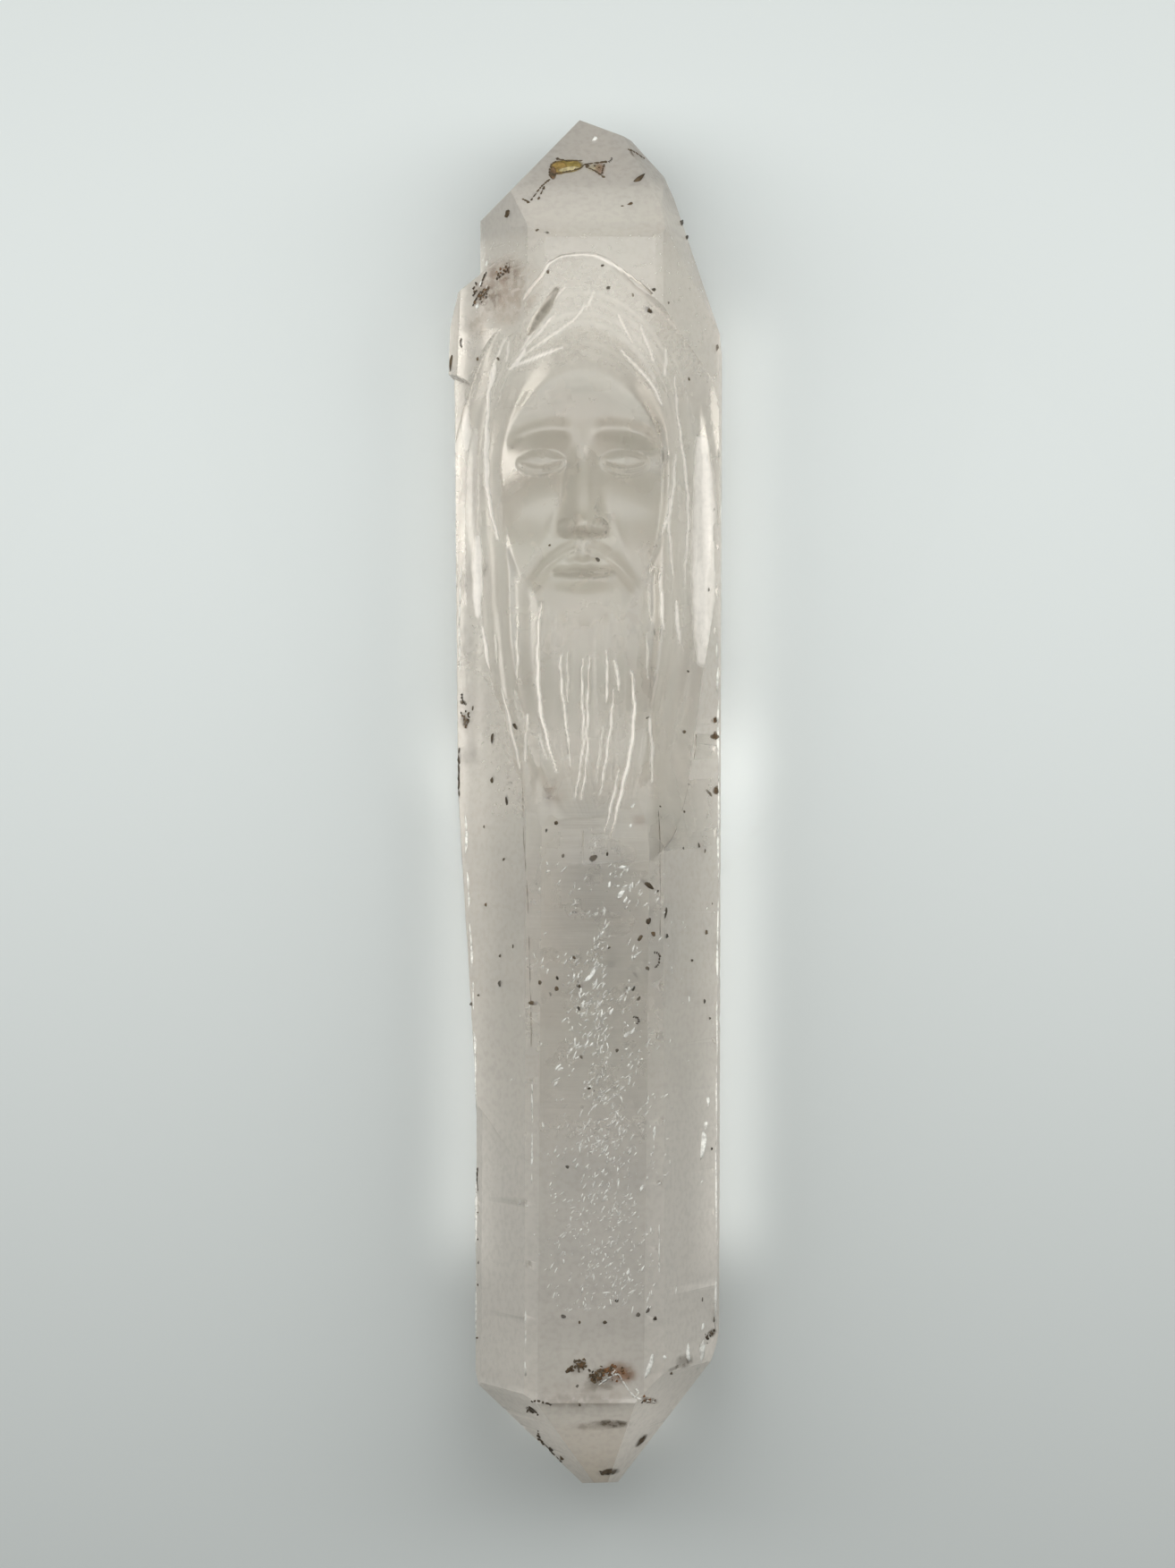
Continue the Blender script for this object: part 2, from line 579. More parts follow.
# cuts the faces into rows across the wand and raises them a little, as growth lines,
# and makes the worn edges uneven
def addGrowthLines(target):
    bm = meshOf(target)
    chance = random.Random(wand["growthSeed"])
    y = -wand["growthReach"]
    while y < wand["growthReach"]:
        whole = bm.verts[:] + bm.edges[:] + bm.faces[:]
        bmesh.ops.bisect_plane(bm, geom=whole, dist=1e-4, plane_co=(0, y, 0), plane_no=(0, 1, 0))
        y += wand["rowStep"] * chance.uniform(0.5, 1.5)
    bm.normal_update()
    for vert in bm.verts:
        if vert.co.z < wand["rowsClear"] or abs(vert.normal.y) > 0.3:
            continue
        side = round(math.degrees(math.atan2(vert.normal.z, vert.normal.x)) / 60)
        broad = noise.noise((vert.co.y * 1.3, side * 7.0, 0.5))
        fine = noise.noise((vert.co.y * 4.1, side * 3.0, 9.0))
        vert.co += vert.normal * (broad + 0.5 * fine) * wand["rowHeight"]
        if any(facet.material_index == wornEdge for facet in vert.link_faces):
            coarse, finer = noise.noise(vert.co * 0.9), noise.noise(vert.co * 2.7)
            bite = max(0, coarse - 0.12) + 0.5 * max(0, finer - 0.1)
            onShaft = 1 - float(ramp(vert.co.y, *wand["nibbleEnds"]))
            vert.co -= vert.normal * bite * wand["nibble"] * onShaft
    bm.to_mesh(target.data)
    bm.free()


# Small breaks along the corners
edgeChips = {
    "seed": 4,
    "size": (0.45, 1.1),
    "bite": (0.1, 0.26),  # how deep they go in
    "stretch": 1.7,  # along the corner
    "shake": 0.16,
    "castFrom": 60,
    "runs": [  # turn about the long axis, first and last y, spacing
        (180, 46, 2, 2.1), (180, -3, -60, 5.5), (0, 49, -58, 4.6), (57, -8, -62, 7.5), (123, -8, -62, 6.5),
        (180, -65, -74, 2.1), (0, -61, -73, 2.2), (0, 72, 56, 2.6), (180, 73, 63, 2.4),
    ],
}


def surfaceTree(target):
    bm = meshOf(target)
    tree = BVHTree.FromBMesh(bm)
    bm.free()
    return tree


def chipCutter(target):
    chance = random.Random(edgeChips["seed"])
    tree = surfaceTree(target)
    bm = bmesh.new()
    for azimuth, first, last, step in edgeChips["runs"]:
        for number in range(int((first - last) / step)):
            y = first - (number + chance.uniform(0.3, 0.7)) * step
            outward = outwardAt(azimuth + chance.uniform(-3, 3))
            start = Vector((wand["axisX"], y, axisZ)) + outward * edgeChips["castFrom"]
            hit = tree.ray_cast(start, -outward)[0]
            size, bite = chance.uniform(*edgeChips["size"]), chance.uniform(*edgeChips["bite"])
            chip = bmesh.ops.create_icosphere(bm, subdivisions=1, radius=size / 2)["verts"]
            for vert in chip:
                vert.co *= 1 + edgeChips["shake"] * chance.uniform(-1, 1)
            bmesh.ops.scale(bm, vec=(1, edgeChips["stretch"] * chance.uniform(0.6, 1), 1), verts=chip)
            bmesh.ops.translate(bm, vec=hit + outward * (size / 2 - bite), verts=chip)
    for facet in bm.faces:
        facet.material_index = wornEdge
    return newBlock("chips", bm)


# How white the satin natural faces are, most on the crown and on the foot's sloping faces
satinFaces = {
    "body": 0.12,
    "bodySides": 2.2,  # how much more where they face sideways
    "bodyLower": 2.2,  # and further down the shaft
    "lowerShaft": (15, 50),
    "crown": 0.43,
    "crownStart": (45, 54),
    "crownTop": (62, 64),  # below it the crown has three quarters of its white
    "foot": 0.42,
    "footSides": 1.3,
    "footSlope": (0.2, 0.4),
    "footBelow": -44,
}


def satinAt(vert):
    y, sideways = vert.co.y, abs(vert.normal.x)
    lower = float(ramp(-y, *satinFaces["lowerShaft"]))
    body = satinFaces["body"] * (1 + satinFaces["bodySides"] * sideways + satinFaces["bodyLower"] * lower)
    crown = satinFaces["crown"] * (0.75 + 0.25 * float(ramp(y, *satinFaces["crownTop"])))
    foot = satinFaces["foot"] * (1 + satinFaces["footSides"] * sideways)
    onCrown = float(ramp(y, *satinFaces["crownStart"]))
    onFoot = float(ramp(-vert.normal.y, *satinFaces["footSlope"])) * (y < satinFaces["footBelow"])
    return blend(blend(body, crown, onCrown), foot, onFoot)


# marks how white and how smooth the surface is, keeps the edges crisp and scales to metres
def finishStone(target):
    bm = meshOf(target)
    bmesh.ops.remove_doubles(bm, verts=bm.verts[:], dist=1e-4)
    bm.normal_update()
    smooth = bm.verts.layers.float.new("smooth")
    frost = bm.verts.layers.float.new("frost")
    whole = bm.verts[:]
    places = np.array([vert.co for vert in whole])
    levels = engraving(places[:, 0], places[:, 1])[1]
    for vert, level in zip(whole, levels):
        kinds = [facet.material_index for facet in vert.link_faces]
        ends = float(ramp(vert.co.y, *wand["plainCrown"]) + ramp(-vert.co.y, *wand["plainFoot"]))
        if all(kind == carvedFace for kind in kinds):
            vert[smooth] = max(float(ramp(vert.co.y, head["beardTipY"], 12)), ends)
            vert[frost] = level
        else:
            worn = kinds.count(wornEdge) / len(kinds)
            vert[smooth] = ends
            vert[frost] = max(worn * wand["edgeFrost"], satinAt(vert))
        if vert.co.z < wand["restingClear"]:
            vert[frost] = 0
    for edge in bm.edges:
        kinds = {facet.material_index for facet in edge.link_faces}
        atEnds = not wand["softBelow"] < edge.verts[0].co.y < wand["softAbove"]
        oneKind = len(kinds) == 1 or (atEnds and carvedFace not in kinds)
        edge.smooth = oneKind and edge.calc_face_angle(0) < math.radians(wand["smoothTurn"])
    shadeAndShrink(bm)
    for facet in bm.faces:
        facet.material_index = 0
    bm.to_mesh(target.data)
    bm.free()


def makeStone():
    body = growCrystal("carved_quartz", facesOf(crystals["main"]), wand["edgeWear"])
    smaller = [facesOf(crystals["leftFlank"]), facesOf(crystals["leftShoulder"])]
    for faces in smaller + [spireFaces(spire) for spire in spires]:
        joinOrCut(body, growCrystal("smaller_crystal", faces, wand["smallEdgeWear"]), "UNION")
    print("crystals joined", len(body.data.polygons), "faces")
    addGrowthLines(body)
    joinOrCut(body, chipCutter(body), "DIFFERENCE")
    print("edges chipped", len(body.data.polygons), "faces")
    joinOrCut(body, carvingBlock(), "DIFFERENCE")
    finishStone(body)
    body.data.calc_loop_triangles()
    print("stone carved", len(body.data.loop_triangles), "triangles")
    return body


stone = makeStone()


# Finishes
def newFinish(name):
    finish = bpy.data.materials.new(name)
    finish.use_nodes = True
    return finish, finish.node_tree, finish.node_tree.nodes["Principled BSDF"]


# gives the node's inputs fixed values or links
def feed(tree, node, inputs):
    for name, given in inputs.items():
        if isinstance(given, bpy.types.NodeSocket):
            tree.links.new(given, node.inputs[name])
        else:
            node.inputs[name].default_value = given


def addNode(tree, kind, inputs, output, **settings):
    node = tree.nodes.new("ShaderNode" + kind)
    for name, setting in settings.items():
        setattr(node, name, setting)
    feed(tree, node, inputs)
    return node.outputs[output]


def readAttribute(tree, name):
    return addNode(tree, "Attribute", {}, "Fac", attribute_name=name)


def calculate(tree, operation, a, b):
    return addNode(tree, "Math", {0: a, 1: b}, 0, operation=operation)


def between(tree, share, low, high):
    return addNode(tree, "MapRange", {"Value": share, "To Min": low, "To Max": high}, 0)


def mixColours(tree, share, a, b, way="MIX"):
    return addNode(tree, "Mix", {0: share, 6: a, 7: b}, 2, data_type="RGBA", blend_type=way)


# cloudy patches, Mask runs from 0 to 1
def makePatchyGroup():
    group = bpy.data.node_groups.new("patchy", "ShaderNodeTree")
    for name in ("Scale", "Detail", "Low", "High"):
        group.interface.new_socket(name, in_out="INPUT", socket_type="NodeSocketFloat")
    group.interface.new_socket("Stretch", in_out="INPUT", socket_type="NodeSocketVector")
    group.interface.new_socket("Mask", in_out="OUTPUT", socket_type="NodeSocketFloat")
    given = group.nodes.new("NodeGroupInput").outputs
    place = addNode(group, "TexCoord", {}, "Object")
    place = addNode(group, "VectorMath", {0: place, 1: given["Stretch"]}, 0, operation="MULTIPLY")
    wanted = {"Vector": place, "Scale": given["Scale"], "Detail": given["Detail"]}
    clouds = addNode(group, "TexNoise", wanted, "Fac")
    levels = {"Value": clouds, "From Min": given["Low"], "From Max": given["High"]}
    mask = addNode(group, "MapRange", levels, 0, interpolation_type="SMOOTHSTEP")
    feed(group, group.nodes.new("NodeGroupOutput"), {"Mask": mask})
    return group


patchyGroup = makePatchyGroup()


def patchy(tree, scale, detail, low, high, stretch=(1, 1, 1)):
    values = {"Scale": scale, "Detail": detail, "Low": low, "High": high, "Stretch": stretch}
    return addNode(tree, "Group", values, "Mask", node_tree=patchyGroup)


def quartzFinish():
    finish, tree, shader = newFinish("clear_quartz")
    satin = patchy(tree, 260, 5, 0.35, 0.65)
    clouds = patchy(tree, 130, 3, 0.4, 0.6)
    striae = patchy(tree, 2200, 4, 0.2, 0.8, (0.06, 1, 0.06))
    natural = between(tree, readAttribute(tree, "smooth"), 1, 0.06)
    rows = {"Strength": 0.35, "Distance": 0.00004, "Height": calculate(tree, "MULTIPLY", striae, natural)}
    feed(tree, shader, {
        "Transmission Weight": 1,
        "IOR": 1.544,
        "Roughness": between(tree, satin, 0.25, 0.33),
        "Base Color": mixColours(tree, clouds, (1, 0.955, 0.925, 1), (0.99, 0.97, 0.935, 1)),
        "Normal": addNode(tree, "Bump", rows, "Normal"),
    })
    warmth = addNode(tree, "VolumeAbsorption", {"Color": (0.92, 0.87, 0.79, 1), "Density": 30}, 0)
    feed(tree, tree.nodes["Material Output"], {"Volume": warmth})
    return finish


# a pale finish that shows as much as its attribute says, thinned by cloudy patches
def paleFinish(name, colour, roughness, attribute, patches, least=0):
    finish, tree, shader = newFinish(name)
    cover = between(tree, patchy(tree, *patches), least, 1)
    shown = calculate(tree, "MULTIPLY", readAttribute(tree, attribute), cover)
    feed(tree, shader, {"Base Color": colour, "Roughness": roughness, "Alpha": shown})
    return finish


# from dark smoke through brown and rust to amber and cream, as the tone attribute goes from 0 to 1
ironColours = [
    (0, (0.04, 0.03, 0.02)),
    (0.3, (0.12, 0.085, 0.05)),
    (0.6, (0.33, 0.14, 0.055)),
    (0.8, (0.27, 0.2, 0.055)),
    (1, (0.72, 0.62, 0.4)),
]


def ironFinish():
    finish, tree, shader = newFinish("iron_mineral")
    colour = addNode(tree, "ValToRGB", {"Fac": readAttribute(tree, "tone")}, "Color")
    stops = colour.node.color_ramp.elements
    stops[0].color, stops[-1].color = (*ironColours[0][1], 1), (*ironColours[-1][1], 1)
    for position, shade in ironColours[1:-1]:
        stops.new(position).color = (*shade, 1)
    mottling = between(tree, patchy(tree, 1800, 4, 0.3, 0.7), 0.65, 1.3)
    # a grain is solid throughout, a film is cloudy
    cloud = between(tree, patchy(tree, 900, 6, 0.38, 0.58), 0.15, 1)
    full = calculate(tree, "MAXIMUM", cloud, readAttribute(tree, "solid"))
    feed(tree, shader, {
        "Roughness": 0.6,
        "Base Color": mixColours(tree, 1, colour, mottling, "MULTIPLY"),
        "Alpha": calculate(tree, "MULTIPLY", readAttribute(tree, "fade"), full),
    })
    return finish


def veilFinish():
    finish = paleFinish("pale_veil", (0.52, 0.48, 0.42, 1), 0.8, "fade", (750, 8, 0.36, 0.66))
    tree = finish.node_tree
    colour = mixColours(tree, readAttribute(tree, "tone"), (0.38, 0.37, 0.345, 1), (0.52, 0.48, 0.42, 1))
    feed(tree, tree.nodes["Principled BSDF"], {"Base Color": colour})
    return finish


ironMineral = ironFinish()
groundQuartz = paleFinish("ground_quartz", (0.86, 0.8, 0.735, 1), 0.85, "frost", (1500, 5, 0.3, 0.6), 0.9)
whiteWisp = paleFinish("white_wisp", (0.93, 0.91, 0.86, 1), 0.7, "fade", (1400, 5, 0.3, 0.6), 0.3)


def rideStone(piece, finish):
    piece.data.materials.clear()
    piece.data.materials.append(finish)
    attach(piece, "root")


rideStone(stone, quartzFinish())
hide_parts("carved_crystal")


# White ground quartz in the cuts and on the worn edges, and the satin of the natural faces,
# as a thin coat on the stone's own surface
frosting = {"least": 0.04, "lift": 0.02}


def makeFrosting():
    bm = meshOf(stone)
    bm.normal_update()
    frost = bm.verts.layers.float["frost"]
    clear = [facet for facet in bm.faces if max(vert[frost] for vert in facet.verts) < frosting["least"]]
    bmesh.ops.delete(bm, geom=clear, context="FACES")
    for vert in bm.verts:
        vert.co += vert.normal * frosting["lift"] * millimetre
    coat = newObject("frosted_cuts", bm)
    print("cuts frosted", len(coat.data.polygons), "faces")
    return coat


rideStone(makeFrosting(), groundQuartz)


# Minerals and veils in the stone
stoneTree = surfaceTree(stone)
patchCells = 18
buried = 0.15  # least stone left below a mark
flush = -0.06  # depth of a mark whose top just comes through the surface
skinStep = 0.0015  # from one thin patch to the next


# the surface that the camera sees at a place, and how thick the stone is below it
def stoneSeen(x, y):
    eye = Vector((view["x"], view["y"], view["height"]))
    hit = stoneTree.ray_cast(eye * millimetre, Vector((x, y, axisZ)) - eye)[0]
    if hit is None:
        return Vector((x, y, 0)), 0
    surface = hit / millimetre
    under = Vector((surface.x, surface.y, -60))
    back = stoneTree.ray_cast(under * millimetre, Vector((0, 0, 1)))[0] / millimetre
    return surface, surface.z - back.z


# thin patches on the surface lie just over the frosting and over one another
def skinDepth(number):
    return -2 * frosting["lift"] - skinStep * number


def newInside():
    bm = bmesh.new()
    for name in ("tone", "fade", "solid"):
        bm.verts.layers.float.new(name)
    return bm


def setInside(bm, verts, tone, solid):
    toneLayer, solidLayer = bm.verts.layers.float["tone"], bm.verts.layers.float["solid"]
    for vert in verts:
        vert[toneLayer], vert[solidLayer] = tone, solid


# a small irregular grain, stretched and turned, with its top at a depth below the surface
def addGrain(bm, chance, x, y, size, turn=0.0, depth=flush, tone=0.1, fade=1.0, fineness=1):
    surface, thickness = stoneSeen(x, y)
    if thickness < 2 * buried:
        return
    depth += size[2] / 2
    grain = bmesh.ops.create_icosphere(bm, subdivisions=fineness, radius=0.5)["verts"]
    for vert in grain:
        vert.co *= chance.uniform(0.75, 1.2)
        vert[bm.verts.layers.float["fade"]] = fade
    setInside(bm, grain, tone, 1)
    lean = Euler((chance.uniform(-0.3, 0.3), chance.uniform(-0.3, 0.3), math.radians(turn)))
    bmesh.ops.scale(bm, vec=size, verts=grain)
    bmesh.ops.rotate(bm, matrix=lean.to_matrix(), verts=grain)
    bmesh.ops.translate(bm, vec=surface - Vector((0, 0, min(depth, thickness - buried))), verts=grain)


# a thin dark or pale line made of grains that follow a curve
def addVein(bm, chance, points, width, depth=flush, tone=0.05, fade=1.0):
    line = curveThrough(points, 3)
    for (ax, ay), (bx, by) in zip(line, line[1:]):
        length = math.hypot(bx - ax, by - ay) * 1.35
        wide = width * chance.uniform(0.6, 1.25)
        shape = length, wide, wide * 0.6
        turn = math.degrees(math.atan2(by - ay, bx - ax))
        addGrain(bm, chance, (ax + bx) / 2, (ay + by) / 2, shape, turn, depth, tone, fade)


# a crumpled sheet that fades out towards its border
def addSheet(bm, x, y, width, height, turn, depth, fade, tone=0.3, tilt=(0, 0), crumple=0.25, solid=0.0):
    fadeLayer = bm.verts.layers.float["fade"]
    sheet = bmesh.ops.create_grid(bm, x_segments=patchCells, y_segments=patchCells, size=0.5)["verts"]
    for vert in sheet:
        away = min(1, 2 * vert.co.length)
        vert[fadeLayer] = fade * (1 - away ** 2)
    setInside(bm, sheet, tone, solid)
    bmesh.ops.scale(bm, vec=(width, height, 1), verts=sheet)
    bmesh.ops.rotate(bm, matrix=Euler((0, 0, math.radians(turn))).to_matrix(), verts=sheet)
    outside = []
    for vert in sheet:
        lift = vert.co.x * tilt[0] + vert.co.y * tilt[1]
        surface, thickness = stoneSeen(x + vert.co.x, y + vert.co.y)
        if thickness < 4 * buried:
            outside.append(vert)
            continue
        lift += crumple * noise.noise(Vector((surface.x, surface.y, depth)) * 0.9)
        vert.co = surface - Vector((0, 0, min(thickness - buried, max(flush, depth - lift))))
    bmesh.ops.delete(bm, geom=outside, context="VERTS")


def finishInside(name, bm, finish):
    shadeAndShrink(bm)
    piece = newObject(name, bm)
    rideStone(piece, finish)
    print(name, len(piece.data.polygons), "faces")


# Rust-brown flecks in the upper surface
flecks = {
    "seed": 5,
    "swell": 1.35,  # drawn size for each measured one
    "squares": [  # x, y, size
        (-8.55, 65.7, 0.75), (5, 66.7, 0.55), (4.1, 66.5, 0.35), (1.9, 59.9, 0.4), (-4.2, 59.2, 0.4),
        (2.5, 57.4, 0.45), (5.3, 56.6, 0.4), (7.6, 57.2, 0.45), (11.5, 47.2, 0.4), (-9.7, 49.4, 0.45),
        (-12.1, 49.4, 0.4), (-12.2, 57.8, 0.5), (14.6, 50.6, 0.8), (9.2, 55.7, 0.3), (10.6, 64.6, 0.7),
        (11.2, 62.9, 0.6), (-5.4, 63.8, 0.4), (-4.3, 63.5, 0.35), (1.3, 27, 0.5), (-4, 28.6, 0.35),
        (13.7, 23.6, 0.4), (11.4, 14.5, 0.4), (6.9, 9.3, 0.35), (11, 7.7, 0.4), (-3.3, -2.5, 0.5),
        (-4.4, -3.3, 0.4), (-11.3, -2.9, 0.4), (0.8, -6.4, 0.85), (2.4, -5.9, 0.5), (-2.5, -6.1, 0.45),
        (-9.1, -6.5, 0.45), (9, -15.1, 0.5),
        (6.9, -18.7, 0.5), (-11.1, -11.6, 0.45), (-8.1, -16.2, 0.4), (-9.5, -17.3, 0.4), (-9.5, -20.4, 0.6),
        (-11.9, -21.7, 0.4), (-12.7, -22.7, 0.5), (-5.1, -20.3, 0.45), (-3.2, -19.8, 0.4), (-3.3, -21, 0.5),
        (-0.8, -20.7, 0.45), (-0.8, -23.2, 0.45), (-1.3, -17.5, 0.4), (5.3, -21, 0.5), (5.9, -22.1, 0.5),
        (11.8, -17.8, 0.4), (13.4, -14.7, 0.5), (13.2, -22.4, 0.5), (13.8, -24.3, 0.4), (3.5, -27.9, 0.4),
        (-0.5, -28.6, 0.4), (0.4, -32.1, 0.4), (14, -38.9, 0.5), (-2.1, -40.9, 0.4), (-2.45, -57.7, 0.6),
        (-0.7, -58.3, 0.35), (2.15, -58.3, 0.45), (3.5, -55.9, 0.4), (5.8, -57.4, 0.6), (6.9, -56.9, 0.6),
        (7.7, -57.8, 0.5), (13, -55.7, 0.45), (-0.7, -67.4, 0.5), (-3.8, -72.4, 0.6), (-2.6, -73.4, 0.6),
        (14.3, -58, 0.6), (-0.9, -65.4, 0.4), (9.5, -63.9, 0.5), (8, -10.1, 0.35), (7.5, -14.9, 0.6),
        (2.6, -16.4, 0.4), (-12.6, 10.4, 0.5), (-12, -46, 0.3), (-12, -49, 0.3), (-11.95, -51.6, 0.35),
        (-12, -54.1, 0.3), (-12.05, -60, 0.4), (12.6, -4.9, 0.5), (13.3, -5.6, 0.4), (10.9, -5.3, 0.3),
        (14.1, -11.5, 0.3), (8.3, -0.6, 0.3), (11, -1.2, 0.3),
    ],
    "squareThickness": 0.18,
    "squareDepth": 1.4 * flush,
    "blocks": [  # paler ones on the right side corner
        (14.3, 9, 0.8), (14.4, 9.2, 0.6), (14.3, 7.4, 1.1), (14.5, 7.2, 0.9), (14.4, 1.2, 1),
        (14.5, 1, 0.8),
    ],
    "rodWidth": 0.55,
    "rodThickness": 0.2,
    "rodDepth": 1.6 * flush,
    "veinWidth": 0.4,
    "rods": [  # x, y, length, turn
        (-8.7, 65.7, 1.1, 60), (5.7, 69.3, 2.2, 43), (7, 54.9, 1, -35), (-7.8, 8.3, 0.9, -50),
        (-10.4, 6.9, 1.5, 90), (-10.4, 2.4, 0.9, 70), (-8.8, 0.1, 1, 85), (6.9, -9.3, 1.7, -35),
        (8.9, -12.5, 1.3, 80), (6.1, -15.3, 0.8, 60), (7, -13.4, 0.8, 75), (-5.9, -22.6, 1.2, 0),
        (-12.3, -34.1, 1.4, 90), (-13.8, -23.5, 1, 90), (-15, 48.9, 2, 90),
    ],
    "veins": [
        [(2.8, 71.9), (2.95, 71.7), (2.6, 71.35)],
        [(7.6, -16.9), (8.2, -17.2), (8.1, -18.2), (7.7, -18.6)],
        [(5.3, -24.1), (5.9, -24.3), (5.8, -25)],
        [(-13.85, 51.7), (-14, 51.2), (-13.8, 50.7)],
        [(-11.06, 59.15), (-11.4, 58.4), (-11.7, 57.5)],
        [(-11.7, 57), (-12.1, 56.3), (-12.6, 55.3)],
        [(-12.1, 57.1), (-12.6, 56.4)],
        [(-11.6, 57), (-11, 56.2)],
        [(-11.85, 61.5), (-11.8, 59.5)],
        [(-8.45, 59.7), (-9, 59.05), (-10, 58.3)],
        [(-6.1, -67.1), (-5, -67.1), (-3.8, -67.5)],
        [(-6.7, -67.9), (-6.2, -67.7), (-5.4, -68.4)],
        [(-5.3, -70.3), (-5.1, -71.2), (-3.8, -72.7), (-2.6, -73.9)],
        [(-13.8, 12), (-13.7, 11.1), (-13.3, 10.8)],
        [(-14.1, 6), (-14.15, 3.2), (-14.1, 0.4)],
        [(-12, -41), (-12.1, -42.5), (-12, -43.6)],
    ],
    "dust": 130,  # more small ones, scattered along the shaft
    "dustArea": ((-12, 14), (-62, 2)),
    "dustSize": (0.16, 0.3),
    "dustDepth": (0.3, 2.5),
}


def makeFlecks():
    chance = random.Random(flecks["seed"])
    bm = newInside()
    thickness, depth = flecks["squareThickness"], flecks["squareDepth"]
    for x, y, size in flecks["squares"]:
        size *= flecks["swell"]
        wide = size * chance.uniform(0.5, 0.9)
        tone, fade = chance.uniform(0, 0.35), chance.uniform(0.5, 1)
        addGrain(bm, chance, x, y, (size, wide, thickness), chance.uniform(0, 180), depth, tone, fade)
    for x, y, size in flecks["blocks"]:
        shape = size, size * 0.8, thickness
        addGrain(bm, chance, x, y, shape, chance.uniform(-20, 20), depth, 0.33, 0.5)
    for x, y, length, turn in flecks["rods"]:
        shape = 1.15 * length, flecks["rodWidth"], flecks["rodThickness"]
        addGrain(bm, chance, x, y, shape, turn, flecks["rodDepth"], chance.uniform(0.05, 0.25))
    for points in flecks["veins"]:
        addVein(bm, chance, points, flecks["veinWidth"])
    acrossX, alongY = flecks["dustArea"]
    for _ in range(flecks["dust"]):
        x, y = chance.uniform(*acrossX), chance.uniform(*alongY)
        size, depth = chance.uniform(*flecks["dustSize"]), chance.uniform(*flecks["dustDepth"])
        addGrain(bm, chance, x, y, (size * chance.uniform(1, 2.4), size, size * 0.5),
                 chance.uniform(0, 180), depth, chance.uniform(0.1, 0.35), chance.uniform(0.5, 1))
    finishInside("rust_flecks", bm, ironMineral)


makeFlecks()


